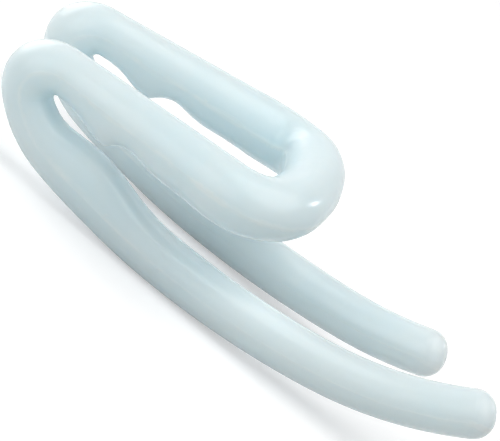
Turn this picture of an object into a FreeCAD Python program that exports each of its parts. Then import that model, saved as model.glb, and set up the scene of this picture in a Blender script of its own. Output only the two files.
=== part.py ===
import FreeCAD, Part
import math
import os
from collections import namedtuple

# Curtain hook moulded in one piece as a round nylon rod.
# A cross bend joins two straight bars. Each bar folds back under itself at the heel
# and runs out again as a long bowed prong with a blunt rounded tip.
# X runs from the heel to the tips, Y across the two limbs, Z up, with the bars on top.
# Each limb is drawn on the -Y side from the middle of the cross bend. The limb whose prong
# is shorter is then mirrored to the +Y side.
# Named lengths are in mm and named angles in degrees. Functions take angles in radians.

# Cross bend that joins the two bars, seen from above
CROWN_RADIUS = 13.8        # shallow outward curve of the middle
CROWN_TURN = 14.7          # how far that curve turns on each side of the middle
CORNER_RADIUS = 2.36       # each of the two corners
CROSS_LIFT = 0.48          # the middle stands this much above the bars
CROSS_ROD_RADIUS = 1.44    # rod at the middle

# Bars
BAR_LENGTH = 8.7
BAR_FLARE = 8.1            # the bars spread apart towards the cross bend
BAR_ROD_RADIUS = 1.48      # rod where a bar meets the cross bend
BAR_HEEL_RADIUS = 1.12     # rod where a bar meets the heel

# Nib under each bar, which narrows the way into the eye
NIB_HEIGHT = 0.46
NIB_FOOT = 0.74            # from the heel to the foot of the nib
NIB_RAMP = 1.95            # slope on the side of the heel
NIB_FLAT = 0.30
NIB_END_RAMP = 0.60        # slope on the side of the cross bend

# Heel, where the rod folds back round the closed end of the narrow eye
EYE_END_RADIUS = 0.22
HEEL_TURN = 137.7
HEEL_FLARE = 5.8
HEEL_ROD_RADIUS = 1.34

# Prong, three arcs one after another when seen from the side
NECK_RADIUS = 5.54
NECK_TURN = 27.6
BELLY_RADIUS = 44.6
BELLY_TURN = 19.7
TOE_RADIUS = 18.8
LONG_TOE_TURN = 25.3       # prong on the -Y side
SHORT_TOE_TURN = 15.6      # prong on the +Y side, which ends sooner
PRONG_FLARE = 3.0          # seen from above, the prong starts outward
PRONG_BOW_RADIUS = 142.0   # and bows back inward
PRONG_ROOT_RADIUS = 1.13
PRONG_MID_RADIUS = 1.235
PRONG_MID_AT = 8.5         # along the prong from the heel
PRONG_TIP_RADIUS = 1.155
TIP_ROUNDING = 1.02

# Swell on the side of the prong that faces the nib
SWELL_HEIGHT = 0.56
SWELL_AT = 4.4             # along the prong from the heel
SWELL_REACH = 4.1          # from its top to each end

# Parting line of the mould, a low crest along both sides of the rod
CREST_HEIGHT = 0.045
CREST_FADE = 3.0           # length over which it dies out before the tip

# How many cross-sections shape each stretch of the rod
CROWN_SECTION_COUNT = 2
CORNER_SECTION_COUNT = 4
BAR_SECTION_COUNT = 3
NIB_RAMP_SECTION_COUNT = 4
NIB_END_SECTION_COUNT = 2
HEEL_SECTION_COUNT = 8
NECK_SECTION_COUNT = 3
BELLY_SECTION_COUNT = 8
TOE_SECTION_COUNT = 4
FACE_SECTION_COUNT = 16    # sections that one face of the skin runs along

# Half of a round section as a spline, from one crest over the apex to the other crest
GIRTH_DEGREE = 2
GIRTH_KNOTS = [0.0, 0.5, 1.0]
GIRTH_MULTIPLICITIES = [3, 2, 3]
CORNER_WEIGHT = math.sqrt(0.5)
GIRTH_WEIGHTS = [1.0, CORNER_WEIGHT, 1.0, CORNER_WEIGHT, 1.0]

Vector = FreeCAD.Vector
ORIGIN = Vector(0, 0, 0)
AHEAD = Vector(1, 0, 0)
LIMB_SIDE = Vector(0, -1, 0)
UP = Vector(0, 0, 1)

# A cross-section: its centre, the direction out to the side of the limb, the direction away
# from the other run of the rod, its radius, what is added to its thickness on the inner
# side, and the height of its crest
Section = namedtuple("Section", "centre side outer radius added crest")


def ease(share):
    """Rise smoothly from 0 to 1 as share goes from 0 to 1."""
    held = min(max(share, 0.0), 1.0)
    return held * held * (3 - 2 * held)


def blend(start, end, share):
    return start + (end - start) * share


def shares(count):
    """Equal steps from just after 0 up to 1."""
    return [(step + 1) / count for step in range(count)]


def along_arc(start, heading, radius, turn, ahead, toward):
    """Point reached on an arc that turns from the ahead direction to the toward direction."""
    forward = radius * (math.sin(heading + turn) - math.sin(heading))
    sideways = radius * (math.cos(heading) - math.cos(heading + turn))
    return start + ahead * forward + toward * sideways


def flared(spread):
    """Directions back along a limb and out to its side, for a limb that spreads by an angle."""
    back = AHEAD * -math.cos(spread) - LIMB_SIDE * math.sin(spread)
    side = AHEAD * -math.sin(spread) + LIMB_SIDE * math.cos(spread)
    return back, side


def cross_bend():
    """Sections from the middle of the cross bend to the start of the bar."""
    crown_turn = math.radians(CROWN_TURN)
    corner_turn = math.pi / 2 + math.radians(BAR_FLARE) - crown_turn
    corner_start = along_arc(ORIGIN, 0, CROWN_RADIUS, crown_turn, LIMB_SIDE, -AHEAD)
    places = [(ORIGIN, 0, 0)]
    for share in shares(CROWN_SECTION_COUNT):
        turn = crown_turn * share
        point = along_arc(ORIGIN, 0, CROWN_RADIUS, turn, LIMB_SIDE, -AHEAD)
        places.append((point, turn, CROWN_RADIUS * turn))
    for share in shares(CORNER_SECTION_COUNT):
        turn = corner_turn * share
        point = along_arc(corner_start, crown_turn, CORNER_RADIUS, turn, LIMB_SIDE, -AHEAD)
        travelled = CROWN_RADIUS * crown_turn + CORNER_RADIUS * turn
        places.append((point, crown_turn + turn, travelled))
    bar_start, _, full_length = places[-1]
    sections = []
    for point, heading, travelled in places:
        side = LIMB_SIDE * math.sin(heading) + AHEAD * math.cos(heading)
        lift = CROSS_LIFT * ((point.x - bar_start.x) / bar_start.x) ** 2
        radius = blend(CROSS_ROD_RADIUS, BAR_ROD_RADIUS, travelled / full_length)
        sections.append(Section(point + UP * lift, side, UP, radius, 0, CREST_HEIGHT))
    return sections, bar_start


def nib_height(from_heel):
    """Height of the nib under the bar at a distance from the heel."""
    up_ramp = ease((from_heel - NIB_FOOT) / NIB_RAMP)
    end = NIB_FOOT + NIB_RAMP + NIB_FLAT + NIB_END_RAMP
    down_ramp = ease((end - from_heel) / NIB_END_RAMP)
    return NIB_HEIGHT * up_ramp * down_ramp


def bar(start):
    """Sections along the bar up to the foot of its nib, and the point where the heel starts."""
    back, side = flared(math.radians(BAR_FLARE))
    flat_start = NIB_FOOT + NIB_RAMP
    end_ramp_start = flat_start + NIB_FLAT
    nib_end = end_ramp_start + NIB_END_RAMP
    from_heel = [blend(BAR_LENGTH, nib_end, share) for share in shares(BAR_SECTION_COUNT)]
    from_heel += [blend(nib_end, end_ramp_start, share) for share in shares(NIB_END_SECTION_COUNT)]
    from_heel += [blend(flat_start, NIB_FOOT, share) for share in [0.0] + shares(NIB_RAMP_SECTION_COUNT)]
    sections = []
    for distance in from_heel:
        radius = blend(BAR_HEEL_RADIUS, BAR_ROD_RADIUS, distance / BAR_LENGTH)
        centre = start + back * (BAR_LENGTH - distance)
        sections.append(Section(centre, side, UP, radius, nib_height(distance), CREST_HEIGHT))
    return sections, start + back * BAR_LENGTH


def heel(bar_end):
    """Sections that fan round the closed end of the eye."""
    back, side = flared(math.radians(HEEL_FLARE))
    eye_end = bar_end - UP * (BAR_HEEL_RADIUS + EYE_END_RADIUS)
    sections = []
    for share in [0.0] + shares(HEEL_SECTION_COUNT):
        turned = math.radians(HEEL_TURN) * share
        outer = UP * math.cos(turned) + back * math.sin(turned)
        if share < 0.5:
            radius = blend(BAR_HEEL_RADIUS, HEEL_ROD_RADIUS, ease(2 * share))
        else:
            radius = blend(HEEL_ROD_RADIUS, PRONG_ROOT_RADIUS, ease(2 * share - 1))
        centre = eye_end + outer * (EYE_END_RADIUS + radius)
        sections.append(Section(centre, side, outer, radius, 0, CREST_HEIGHT))
    return sections


def prong_radius(travelled, length):
    if travelled < PRONG_MID_AT:
        return blend(PRONG_ROOT_RADIUS, PRONG_MID_RADIUS, travelled / PRONG_MID_AT)
    share = (travelled - PRONG_MID_AT) / (length - PRONG_MID_AT)
    return blend(PRONG_MID_RADIUS, PRONG_TIP_RADIUS, share)


def swell_height(travelled):
    from_top = min(abs(travelled - SWELL_AT) / SWELL_REACH, 1)
    return SWELL_HEIGHT * math.cos(math.pi / 2 * from_top) ** 2


def prong_places(start, toe_turn):
    """Points along the prong seen from the side, each with its heading and length so far."""
    arcs = [
        (NECK_RADIUS, math.radians(NECK_TURN), NECK_SECTION_COUNT),
        (BELLY_RADIUS, math.radians(BELLY_TURN), BELLY_SECTION_COUNT),
        (TOE_RADIUS, toe_turn, TOE_SECTION_COUNT),
    ]
    places = [(start, math.radians(HEEL_TURN) - math.pi, 0)]
    for radius, full_turn, count in arcs:
        arc_start, heading, travelled = places[-1]
        for share in shares(count):
            turn = full_turn * share
            point = along_arc(arc_start, heading, radius, turn, AHEAD, UP)
            places.append((point, heading + turn, travelled + radius * turn))
    return places


def prong(start, toe_turn):
    """Sections along the prong to its tip, and the centre of the arc of its belly."""
    places = prong_places(start, toe_turn)
    length = places[-1][2]
    belly_start, belly_heading, _ = places[NECK_SECTION_COUNT]
    belly_centre = along_arc(belly_start, belly_heading, BELLY_RADIUS, -belly_heading, AHEAD, UP)
    belly_centre += UP * BELLY_RADIUS
    sections = []
    for point, heading, travelled in places[1:]:
        run = point.x - start.x
        flare = math.tan(math.radians(PRONG_FLARE))
        drift = run * flare - run ** 2 / (2 * PRONG_BOW_RADIUS)
        plan_ahead = (AHEAD + LIMB_SIDE * (flare - run / PRONG_BOW_RADIUS)).normalize()
        tangent = plan_ahead * math.cos(heading) + UP * math.sin(heading)
        side = plan_ahead.cross(UP)
        sections.append(Section(
            point + LIMB_SIDE * drift, side, tangent.cross(side),
            prong_radius(travelled, length), swell_height(travelled),
            CREST_HEIGHT * min((length - travelled) / CREST_FADE, 1)))
    return sections, belly_centre


def outer_half(section):
    """Control points of the round half of a section, from crest to crest."""
    return half_girth(section, section.outer * section.radius)


def inner_half(section):
    """Control points of the half of a section that faces the other run of the rod."""
    return half_girth(section, section.outer * -(section.radius + section.added))


def half_girth(section, apex):
    centre, side, radius = section.centre, section.side, section.radius
    crest_point = side * (radius + section.crest)
    corner = side * radius
    return [
        centre + crest_point,
        centre + corner + apex,
        centre + apex,
        centre - corner + apex,
        centre - crest_point,
    ]


def stops_along(sections):
    """Length of the rod up to each section."""
    stops = [0.0]
    for section, following in zip(sections, sections[1:]):
        stops.append(stops[-1] + section.centre.distanceToPoint(following.centre))
    return stops


def skin(sections, stops, half):
    """Smooth surface over one half of the girth of the rod, through all of its sections."""
    lines = []
    for points in zip(*[half(section) for section in sections]):
        line = Part.BSplineCurve()
        line.interpolate(Points=list(points), Parameters=stops)
        lines.append(line)
    surface = Part.BSplineSurface()
    surface.buildFromPolesMultsKnots(
        [line.getPoles() for line in lines],
        GIRTH_MULTIPLICITIES, lines[0].getMultiplicities(),
        GIRTH_KNOTS, lines[0].getKnots(),
        False, False, GIRTH_DEGREE, lines[0].Degree,
        [[weight] * lines[0].NbPoles for weight in GIRTH_WEIGHTS])
    return surface


def rod(sections):
    """Solid rod through the sections, with both ends cut square."""
    stops = stops_along(sections)
    seams = stops[:-1:FACE_SECTION_COUNT] + stops[-1:]
    halves = [skin(sections, stops, outer_half), skin(sections, stops, inner_half)]
    faces = [half.toShape(0, 1, *span) for half in halves for span in zip(seams, seams[1:])]
    for end in (seams[0], seams[-1]):
        rims = [half.vIso(end).toShape() for half in halves]
        faces.append(Part.Face(Part.Wire(rims)))
    shell = Part.Shell(faces)
    shell.sewShape()
    return Part.Solid(shell)


def mirrored(section):
    """The same section on the other limb."""
    flipped = [vector - LIMB_SIDE * (2 * vector.dot(LIMB_SIDE)) for vector in section[:3]]
    return Section(*flipped, *section[3:])


def limb(toe_turn):
    """Sections from the middle of the cross bend to a tip, and the centre of the belly's arc."""
    cross_sections, bar_start = cross_bend()
    bar_sections, bar_end = bar(bar_start)
    heel_sections = heel(bar_end)
    prong_sections, belly_centre = prong(heel_sections[-1].centre, toe_turn)
    return cross_sections + bar_sections + heel_sections + prong_sections, belly_centre


def hook():
    """The whole hook and the centre of the arc that both its bellies follow."""
    long_limb, belly_centre = limb(math.radians(LONG_TOE_TURN))
    short_limb, _ = limb(math.radians(SHORT_TOE_TURN))
    solid = rod([mirrored(section) for section in short_limb[:0:-1]] + long_limb)
    square_ends = [face for face in solid.Faces if isinstance(face.Surface, Part.Plane)]
    tip_rims = [edge for face in square_ends for edge in face.Edges]
    return solid.makeFillet(TIP_ROUNDING, tip_rims).Solids[0], belly_centre


def lie_down(shape, belly_centre):
    """Turn the hook as it comes to rest, its weight above the lowest point of the bellies."""
    hang = shape.CenterOfMass - belly_centre
    shape.rotate(ORIGIN, Vector(0, 1, 0), math.degrees(math.atan2(hang.x, -hang.z)))
    box = shape.optimalBoundingBox()
    shape.translate(Vector(-(box.XMin + box.XMax) / 2, -(box.YMin + box.YMax) / 2, -box.ZMin))


curtain_hook, belly_centre = hook()
lie_down(curtain_hook, belly_centre)

os.makedirs("parts", exist_ok=True)
curtain_hook.exportStep("parts/curtain_hook.step")
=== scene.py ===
from math import cos, radians, sin

import bmesh
import bpy
from bpy.props import FloatProperty, FloatVectorProperty, PointerProperty
from mathutils import Matrix, Vector

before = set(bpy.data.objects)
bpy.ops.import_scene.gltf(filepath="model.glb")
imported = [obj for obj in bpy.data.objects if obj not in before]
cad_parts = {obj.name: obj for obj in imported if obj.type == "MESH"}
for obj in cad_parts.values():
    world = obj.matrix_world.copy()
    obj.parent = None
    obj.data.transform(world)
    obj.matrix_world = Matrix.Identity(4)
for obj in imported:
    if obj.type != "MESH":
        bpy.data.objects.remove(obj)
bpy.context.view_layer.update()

bl_info = {
    "name": "Curtain hook",
    "version": (1, 0, 0),
    "blender": (4, 5, 0),
    "location": "3D View > Sidebar > Curtain hook",
    "description": "Finishes a moulded nylon curtain hook and sets up its studio",
    "category": "Object",
}

# Lengths are in metres and angles in radians unless a line says otherwise.
# The hook lies on the floor with its heels at -X and the tips of its prongs at +X.
MM = 0.001
HOOK_NODE = "curtain_hook"

# The hook lies with its heels a little low, and its limbs draw together towards the heels.
HOOK_TILT = radians(5.78)
HEEL_FLARE = radians(5.8)
HOOK_AHEAD = Vector((cos(HOOK_TILT), 0, sin(HOOK_TILT)))
HOOK_UP = Vector((-sin(HOOK_TILT), 0, cos(HOOK_TILT)))
# Middle of the closed end of the eye in the limb at +Y, and the way back from it round the heel
EYE_END = Vector((-10.93 * MM, 4.01 * MM, 3.88 * MM))
HEEL_BACK = -HOOK_AHEAD * cos(HEEL_FLARE) - Vector((0, 1, 0)) * sin(HEEL_FLARE)

NYLON_IOR = 1.53
# How far red, green and blue light reach inside the nylon, as shares of the translucency depth
SCATTER_REACH = (1.05, 1.0, 0.95)
# Mean of a noise texture, and the values between which one patch gives way to the next
NOISE_MEAN = 0.5
PATCH_START = 0.35
PATCH_END = 0.65
# Strength that the parting line keeps where it fades
LINE_LEAST = 0.35

WHITE = (1, 1, 1, 1)
LAMPS = ("key", "front", "back", "glint")
CLIP_START = 10 * MM
CLIP_END = 10.0


# Materials

class Wire:
    """An output socket. Arithmetic on it adds Math nodes to its material."""

    def __init__(self, bench, socket):
        self.bench = bench
        self.socket = socket

    def _math(self, operation, *values):
        return self.bench.node("ShaderNodeMath", {"operation": operation}, dict(enumerate(values)))

    def __add__(self, other):
        return self._math("ADD", self, other)

    def __sub__(self, other):
        return self._math("SUBTRACT", self, other)

    def __rsub__(self, other):
        return self._math("SUBTRACT", other, self)

    def __mul__(self, other):
        return self._math("MULTIPLY", self, other)

    def __truediv__(self, other):
        return self._math("DIVIDE", self, other)

    def __rtruediv__(self, other):
        return self._math("DIVIDE", other, self)

    def __pow__(self, other):
        return self._math("POWER", self, other)

    def __rpow__(self, other):
        return self._math("POWER", other, self)

    def __abs__(self):
        return self._math("ABSOLUTE", self)

    __radd__ = __add__
    __rmul__ = __mul__


class Bench:
    """Node tree of one material or world, emptied and ready for new nodes."""

    def __init__(self, owner):
        owner.use_nodes = True
        self.tree = owner.node_tree
        self.tree.nodes.clear()

    def node(self, kind, settings=None, inputs=None, output=0):
        """Add a node, apply its settings, then fill its sockets with values or wires."""
        made = self.tree.nodes.new(kind)
        for name, value in (settings or {}).items():
            setattr(made, name, value)
        for name, value in (inputs or {}).items():
            if isinstance(value, Wire):
                self.tree.links.new(value.socket, made.inputs[name])
            else:
                made.inputs[name].default_value = value
        return Wire(self, made.outputs[output]) if made.outputs else None


def parting_line(bench, place, settings):
    """1 on the line where the two halves of the mould met, falling to 0 beside it.

    The halves met along the middle of each limb's sides, where the surface faces neither
    away from the end of the eye nor towards it. The limb at -Y is mirrored onto the other.
    """

    def vector_math(operation, *values, output="Vector"):
        return bench.node("ShaderNodeVectorMath", {"operation": operation}, dict(enumerate(values)), output)

    def dot(one, other):
        return vector_math("DOT_PRODUCT", one, other, output="Value")

    normal = bench.node("ShaderNodeTexCoord", output="Normal")
    across = bench.node("ShaderNodeSeparateXYZ", inputs={"Vector": place}, output="Y")
    limb = bench.node("ShaderNodeMath", {"operation": "SIGN"}, {0: across})
    to_one_limb = bench.node("ShaderNodeCombineXYZ", inputs={"X": 1.0, "Y": limb, "Z": 1.0})
    from_eye = vector_math("SUBTRACT", vector_math("MULTIPLY", place, to_one_limb), EYE_END)
    facing = vector_math("MULTIPLY", normal, to_one_limb)
    above = dot(from_eye, HOOK_UP)
    behind = bench.node("ShaderNodeMath", {"operation": "MAXIMUM"}, {0: dot(from_eye, HEEL_BACK), 1: 0.0})
    outward = above * dot(facing, HOOK_UP) + behind * dot(facing, HEEL_BACK)
    off_line = abs(outward / (above * above + behind * behind) ** 0.5)
    return bench.node("ShaderNodeMapRange", {"interpolation_type": "SMOOTHSTEP"}, {
        "Value": off_line, "From Min": settings.line_core, "From Max": settings.line_edge,
        "To Min": 1.0, "To Max": 0.0})


def nylon_material(settings):
    """Natural nylon from a polished mould: smooth, faintly cloudy and translucent, with a raised parting
    line whose lighter colour is a painted highlight.
    """
    material = bpy.data.materials.new("moulded_nylon")
    bench = Bench(material)
    place = bench.node("ShaderNodeTexCoord", output="Object")

    def cloud(size, detail, roughness=0.5):
        return bench.node("ShaderNodeTexNoise", {"noise_dimensions": "3D"}, {
            "Vector": place, "Scale": 1 / size, "Detail": detail, "Roughness": roughness})

    def patches(size):
        return bench.node("ShaderNodeMapRange", {"interpolation_type": "SMOOTHSTEP"}, {
            "Value": cloud(size, detail=2.0), "From Min": PATCH_START, "From Max": PATCH_END})

    def tinted(mask, under, over):
        return bench.node("ShaderNodeMix", {"data_type": "RGBA"}, {
            "Factor": mask, "A": under, "B": over}, output="Result")

    fading = LINE_LEAST + patches(settings.line_gap) * (1 - LINE_LEAST)
    line = parting_line(bench, place, settings) * fading
    haze = patches(settings.haze_size)
    clouded = tinted(haze, (*settings.nylon_color, 1), (*settings.haze_color, 1))
    # Painted highlight: the parting line is lightened in colour where its ridge would catch the light. The
    # ridge's relief below is real.
    color = tinted(line * settings.line_highlight_tint, clouded, (*settings.line_color, 1))
    polish = cloud(settings.polish_size, detail=3.0)
    roughness = settings.roughness + (polish - NOISE_MEAN) * settings.roughness_variation
    flow = cloud(settings.flow_size, detail=2.0)
    grain = cloud(settings.grain_size, detail=4.0, roughness=0.6)
    # The relief is a height in metres, so the bump's own distance stays 1.
    relief = flow * settings.flow_depth + grain * settings.grain_depth + line * settings.line_height
    bump = bench.node("ShaderNodeBump", inputs={"Strength": 1.0, "Distance": 1.0, "Height": relief})
    surface = bench.node("ShaderNodeBsdfPrincipled", {"subsurface_method": "RANDOM_WALK"}, {
        "Base Color": color,
        "Roughness": roughness,
        "Normal": bump,
        "IOR": NYLON_IOR,
        "Specular IOR Level": settings.specular,
        "Subsurface Weight": settings.translucency,
        "Subsurface Radius": SCATTER_REACH,
        "Subsurface Scale": settings.translucency_depth,
    })
    bench.node("ShaderNodeOutputMaterial", inputs={"Surface": surface})
    return material


def seen_rays(bench):
    """1 for camera, glossy and transmission rays, 0 for the rays that light the scene."""
    camera = bench.node("ShaderNodeLightPath", output="Is Camera Ray")
    glossy = bench.node("ShaderNodeLightPath", output="Is Glossy Ray")
    through = bench.node("ShaderNodeLightPath", output="Is Transmission Ray")
    return bench.node("ShaderNodeMath", {"operation": "ADD", "use_clamp": True}, {
        0: camera + glossy, 1: through})


def floor_material(settings):
    """Floor that is white behind the hook and further off, and takes the hook's soft shadow."""
    material = bpy.data.materials.new("studio_floor")
    bench = Bench(material)
    color = (*settings.floor_color, 1)
    place = bench.node("ShaderNodeTexCoord", output="Object")
    reach = bench.node("ShaderNodeVectorMath", {"operation": "LENGTH"}, {0: place}, "Value")
    far = bench.node("ShaderNodeMapRange", {"interpolation_type": "SMOOTHSTEP"}, {
        "Value": reach, "From Min": settings.near_floor, "From Max": settings.far_floor})
    near_glow = bench.node("ShaderNodeEmission", inputs={"Color": color, "Strength": settings.floor_glow})
    far_glow = bench.node("ShaderNodeEmission", inputs={"Color": WHITE, "Strength": 1.0})
    glow = bench.node("ShaderNodeMixShader", inputs={"Fac": far, 1: near_glow, 2: far_glow})
    matt = bench.node("ShaderNodeBsdfDiffuse", inputs={"Color": color})
    lit = bench.node("ShaderNodeAddShader", inputs={0: matt, 1: glow})
    surface = bench.node("ShaderNodeMixShader", inputs={"Fac": seen_rays(bench), 1: matt, 2: lit})
    bench.node("ShaderNodeOutputMaterial", inputs={"Surface": surface})
    return material


# Settings

class HookSettings(bpy.types.PropertyGroup):
    """Finish of the nylon."""

    nylon_color: FloatVectorProperty(
        name="Nylon", description="Main colour of the nylon",
        subtype="COLOR", size=3, min=0, max=1, default=(0.73, 0.875, 0.94))
    haze_color: FloatVectorProperty(
        name="Haze", description="Colour of the faint clouds in the nylon",
        subtype="COLOR", size=3, min=0, max=1, default=(0.76, 0.89, 0.94))
    haze_size: FloatProperty(
        name="Haze size", description="Width of one faint cloud",
        subtype="DISTANCE", unit="LENGTH", min=0.1 * MM, default=5 * MM)
    roughness: FloatProperty(
        name="Roughness", description="Mean roughness of the surface",
        subtype="FACTOR", min=0, max=1, default=0.24)
    roughness_variation: FloatProperty(
        name="Roughness variation", description="How far the polish varies over the surface",
        subtype="FACTOR", min=0, max=1, default=0.06)
    polish_size: FloatProperty(
        name="Polish size", description="Width of one patch of even polish",
        subtype="DISTANCE", unit="LENGTH", min=0.1 * MM, default=2.5 * MM)
    specular: FloatProperty(
        name="Specular", description="Strength of the mirror-like reflection",
        subtype="FACTOR", min=0, max=1, default=0.4)
    translucency: FloatProperty(
        name="Translucency", description="Share of the light that scatters inside the nylon",
        subtype="FACTOR", min=0, max=1, default=1.0)
    translucency_depth: FloatProperty(
        name="Translucency depth", description="How far light travels inside the nylon",
        subtype="DISTANCE", unit="LENGTH", min=0, default=2.0 * MM)
    flow_size: FloatProperty(
        name="Flow size", description="Width of the shallow waves left as the nylon cools",
        subtype="DISTANCE", unit="LENGTH", min=0.1 * MM, default=1.8 * MM)
    flow_depth: FloatProperty(
        name="Flow depth", description="Depth of the shallow waves",
        subtype="DISTANCE", unit="LENGTH", min=0, default=0.01 * MM)
    grain_size: FloatProperty(
        name="Grain size", description="Width of the finest unevenness of the mould",
        subtype="DISTANCE", unit="LENGTH", min=0.01 * MM, default=0.12 * MM)
    grain_depth: FloatProperty(
        name="Grain depth", description="Depth of the finest unevenness",
        subtype="DISTANCE", unit="LENGTH", min=0, default=0.0004 * MM)
    # The parting line's colour and its tint are a painted highlight that stands in for the shine on its
    # ridge.
    line_color: FloatVectorProperty(
        name="Parting line", description="Colour of the line between the halves of the mould",
        subtype="COLOR", size=3, min=0, max=1, default=(0.86, 0.95, 0.97))
    line_highlight_tint: FloatProperty(
        name="Line tint", description="Strength of the parting line's colour",
        subtype="FACTOR", min=0, max=1, default=0.5)
    line_core: FloatProperty(
        name="Line core", description="Half width of the line's clear part, as a share of the rod's radius",
        subtype="FACTOR", min=0, max=1, default=0.10)
    line_edge: FloatProperty(
        name="Line edge", description="Half width at which the line ends, as a share of the rod's radius",
        subtype="FACTOR", min=0, max=1, default=0.17)
    line_gap: FloatProperty(
        name="Line gap", description="Length over which the line comes and goes",
        subtype="DISTANCE", unit="LENGTH", min=0.1 * MM, default=1.2 * MM)
    line_height: FloatProperty(
        name="Line height", description="How far the line stands out",
        subtype="DISTANCE", unit="LENGTH", min=0, default=0.008 * MM)


class StudioSettings(bpy.types.PropertyGroup):
    """Floor, light and camera."""

    floor_color: FloatVectorProperty(
        name="Floor", description="Colour of the floor",
        subtype="COLOR", size=3, min=0, max=1, default=(0.7, 0.7, 0.7))
    floor_glow: FloatProperty(
        name="Floor glow", description="Strength of the glow that is seen on the floor near the hook",
        min=0, default=0.65)
    near_floor: FloatProperty(
        name="Near floor", description="Distance from the hook where the floor begins to glow more",
        subtype="DISTANCE", unit="LENGTH", min=0, default=80 * MM)
    far_floor: FloatProperty(
        name="Far floor", description="Distance from the hook where the floor glows fully white",
        subtype="DISTANCE", unit="LENGTH", min=1 * MM, default=320 * MM)
    floor_size: FloatProperty(
        name="Floor size", description="Length of the floor's sides",
        subtype="DISTANCE", unit="LENGTH", min=0.1, default=4.0)
    sky_color: FloatVectorProperty(
        name="Sky", description="Colour of the even light from all around",
        subtype="COLOR", size=3, min=0, max=1, default=(0.95, 0.98, 1.0))
    sky_strength: FloatProperty(
        name="Sky strength", description="Strength of the even light from all around",
        min=0, default=0.02)
    lamp_distance: FloatProperty(
        name="Lamp distance", description="From the hook to each lamp",
        subtype="DISTANCE", unit="LENGTH", min=1 * MM, default=240 * MM)
    key_direction: FloatVectorProperty(
        name="Key direction", description="From the hook to the large lamp above it",
        subtype="DIRECTION", size=3, default=(0.3, -0.1, 0.95))
    key_size: FloatProperty(
        name="Key size", description="Width of the large lamp above the hook",
        subtype="DISTANCE", unit="LENGTH", min=1 * MM, default=300 * MM)
    key_power: FloatProperty(
        name="Key power", description="Power of the large lamp above the hook",
        subtype="POWER", unit="POWER", min=0, default=0.46)
    front_direction: FloatVectorProperty(
        name="Front direction", description="From the hook to the large lamp on the camera's side",
        subtype="DIRECTION", size=3, default=(-0.5, -0.75, 0.4))
    front_size: FloatProperty(
        name="Front size", description="Width of the large lamp on the camera's side",
        subtype="DISTANCE", unit="LENGTH", min=1 * MM, default=240 * MM)
    front_power: FloatProperty(
        name="Front power", description="Power of the large lamp on the camera's side",
        subtype="POWER", unit="POWER", min=0, default=0.23)
    back_direction: FloatVectorProperty(
        name="Back direction", description="From the hook to the large lamp behind its heels",
        subtype="DIRECTION", size=3, default=(-0.8, 0.5, 0.25))
    back_size: FloatProperty(
        name="Back size", description="Width of the large lamp behind the heels",
        subtype="DISTANCE", unit="LENGTH", min=1 * MM, default=240 * MM)
    back_power: FloatProperty(
        name="Back power", description="Power of the large lamp behind the heels",
        subtype="POWER", unit="POWER", min=0, default=0.39)
    glint_direction: FloatVectorProperty(
        name="Glint direction", description="From the hook to the small lamp that draws its highlight",
        subtype="DIRECTION", size=3, default=(0.58, 0.68, 0.46))
    glint_size: FloatProperty(
        name="Glint size", description="Width of the small lamp",
        subtype="DISTANCE", unit="LENGTH", min=1 * MM, default=16 * MM)
    glint_power: FloatProperty(
        name="Glint power", description="Power of the small lamp",
        subtype="POWER", unit="POWER", min=0, default=0.03)
    camera_aim: FloatVectorProperty(
        name="Aim", description="Point that the camera looks at",
        subtype="XYZ", unit="LENGTH", size=3, default=(-0.63 * MM, -0.02 * MM, 3.9 * MM))
    camera_distance: FloatProperty(
        name="Distance", description="From the camera to the point that it looks at",
        subtype="DISTANCE", unit="LENGTH", min=1 * MM, default=154.5 * MM)
    camera_azimuth: FloatProperty(
        name="Azimuth", description="Turn of the camera round the hook, 0 looks along +Y",
        subtype="ANGLE", unit="ROTATION", default=radians(-2.29))
    camera_elevation: FloatProperty(
        name="Elevation", description="Height of the camera above the horizon",
        subtype="ANGLE", unit="ROTATION", default=radians(19.5))
    camera_roll: FloatProperty(
        name="Roll", description="Turn of the camera about the direction that it looks in",
        subtype="ANGLE", unit="ROTATION", default=radians(40.46))
    camera_lens: FloatProperty(
        name="Lens", description="Focal length in millimetres on a sensor 36 mm wide",
        min=1, default=240.8)


# Hook

class HOOK_OT_finish_nylon(bpy.types.Operator):
    """Give the moulded hook its nylon finish"""

    bl_idname = "curtain_hook.finish_nylon"
    bl_label = "Finish the nylon"

    def execute(self, context):
        hook = bpy.data.objects.get(HOOK_NODE)
        if hook is None:
            raise RuntimeError("the hook is not in the frame")
        if not hook.material_slots:
            raise RuntimeError("the hook has no material slot")
        material = nylon_material(context.scene.curtain_hook)
        for slot in hook.material_slots:
            slot.material = material
        return {"FINISHED"}


# Studio

def make_floor(settings):
    """Flat floor that the hook lies on, with the hook over its middle."""
    mesh = bpy.data.meshes.new("floor")
    flat = bmesh.new()
    bmesh.ops.create_grid(flat, x_segments=1, y_segments=1, size=settings.floor_size / 2)
    flat.to_mesh(mesh)
    flat.free()
    mesh.materials.append(floor_material(settings))
    floor = bpy.data.objects.new("floor", mesh)
    bpy.context.collection.objects.link(floor)


def make_sky(settings):
    """Faint even light from all around, which is white where it is seen."""
    world = bpy.data.worlds.new("studio_sky")
    bench = Bench(world)
    light = bench.node("ShaderNodeBackground", inputs={
        "Color": (*settings.sky_color, 1), "Strength": settings.sky_strength})
    backdrop = bench.node("ShaderNodeBackground", inputs={"Color": WHITE, "Strength": 1.0})
    surface = bench.node("ShaderNodeMixShader", inputs={"Fac": seen_rays(bench), 1: light, 2: backdrop})
    bench.node("ShaderNodeOutputWorld", inputs={"Surface": surface})
    bpy.context.scene.world = world


def aimed(place, aim):
    """Matrix of a lamp or camera at a place, looking at an aim with its top upwards."""
    turn = (aim - place).to_track_quat("-Z", "Y")
    return Matrix.Translation(place) @ turn.to_matrix().to_4x4()


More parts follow.
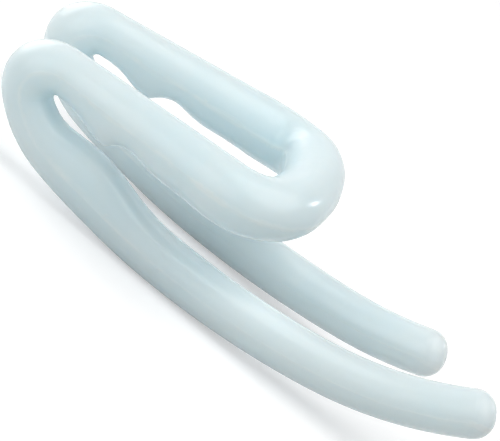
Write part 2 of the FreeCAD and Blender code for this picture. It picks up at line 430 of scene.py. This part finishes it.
def make_lamp(name, settings):
    """Round lamp that stands off from the hook in its own direction and shines back at it."""
    lamp = bpy.data.lights.new(name, "AREA")
    lamp.shape = "DISK"
    lamp.size = getattr(settings, name + "_size")
    lamp.energy = getattr(settings, name + "_power")
    toward = Vector(getattr(settings, name + "_direction")).normalized()
    holder = bpy.data.objects.new(name, lamp)
    holder.matrix_world = aimed(toward * settings.lamp_distance, Vector((0, 0, 0)))
    holder.visible_camera = False
    bpy.context.collection.objects.link(holder)


def make_camera(settings):
    """Camera that rolls instead of the hook, which lies flat on the floor."""
    camera = bpy.data.cameras.new("camera")
    camera.lens = settings.camera_lens
    camera.clip_start = CLIP_START
    camera.clip_end = CLIP_END
    holder = bpy.data.objects.new("camera", camera)
    level = Matrix.Rotation(settings.camera_azimuth, 3, "Z")
    raised = Matrix.Rotation(-settings.camera_elevation, 3, "X")
    back = level @ raised @ Vector((0, -1, 0))
    aim = Vector(settings.camera_aim)
    view = aimed(aim + back * settings.camera_distance, aim)
    holder.matrix_world = view @ Matrix.Rotation(settings.camera_roll, 4, "Z")
    bpy.context.collection.objects.link(holder)
    bpy.context.scene.camera = holder


class HOOK_OT_set_up_studio(bpy.types.Operator):
    """Add the floor, the soft light and the camera"""

    bl_idname = "curtain_hook.set_up_studio"
    bl_label = "Set up the studio"

    def execute(self, context):
        settings = context.scene.curtain_hook_studio
        make_floor(settings)
        make_sky(settings)
        for name in LAMPS:
            make_lamp(name, settings)
        make_camera(settings)
        context.scene.view_settings.view_transform = "Standard"
        return {"FINISHED"}


class HOOK_PT_panel(bpy.types.Panel):
    """Steps and settings of the curtain hook"""

    bl_label = "Curtain hook"
    bl_idname = "HOOK_PT_panel"
    bl_space_type = "VIEW_3D"
    bl_region_type = "UI"
    bl_category = "Curtain hook"

    def draw(self, context):
        for operator, settings in (
                (HOOK_OT_finish_nylon, context.scene.curtain_hook),
                (HOOK_OT_set_up_studio, context.scene.curtain_hook_studio)):
            column = self.layout.column(align=True)
            column.operator(operator.bl_idname)
            for name in settings.__annotations__:
                column.prop(settings, name)


CLASSES = (
    HookSettings,
    StudioSettings,
    HOOK_OT_finish_nylon,
    HOOK_OT_set_up_studio,
    HOOK_PT_panel,
)


def register():
    for cls in CLASSES:
        bpy.utils.register_class(cls)
    bpy.types.Scene.curtain_hook = PointerProperty(type=HookSettings)
    bpy.types.Scene.curtain_hook_studio = PointerProperty(type=StudioSettings)


def unregister():
    del bpy.types.Scene.curtain_hook_studio
    del bpy.types.Scene.curtain_hook
    for cls in reversed(CLASSES):
        bpy.utils.unregister_class(cls)


def main():
    register()
    bpy.ops.curtain_hook.finish_nylon()
    bpy.ops.curtain_hook.set_up_studio()


if __name__ == "__main__":
    main()
